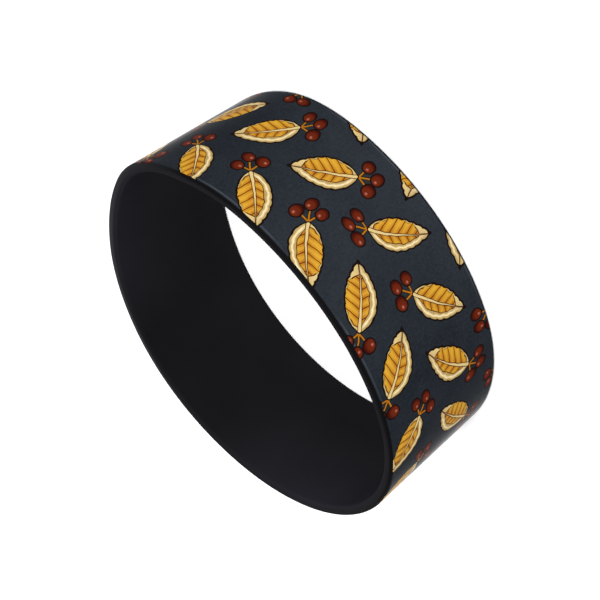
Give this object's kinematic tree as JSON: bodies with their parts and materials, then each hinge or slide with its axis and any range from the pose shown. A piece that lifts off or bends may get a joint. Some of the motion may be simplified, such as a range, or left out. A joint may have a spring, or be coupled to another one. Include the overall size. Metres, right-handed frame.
{
  "type": "rubber bracelet",
  "caption": "Wide seamless rubber wristband: a closed, softly oval loop with rounded rims, plain inside, with a printed film seated in its outer face up to the rounding of the rims.",
  "frame": {"origin": "middle of the loop's outline, on the plane of the rim that it rests on", "axes": "+Z along the band's axis, from the rim that it rests on to the other rim; +X towards the tighter end of the egg-shaped loop"},
  "size_m": [0.0676, 0.0622, 0.0254],
  "materials": {
    "black_rubber": "matt, with a faint silky sheen on the rims",
    "printed_rubber": null
  },
  "bodies": {
    "root": {"band": "black_rubber", "printed_film": "printed_rubber"}
  },
  "joints": []
}
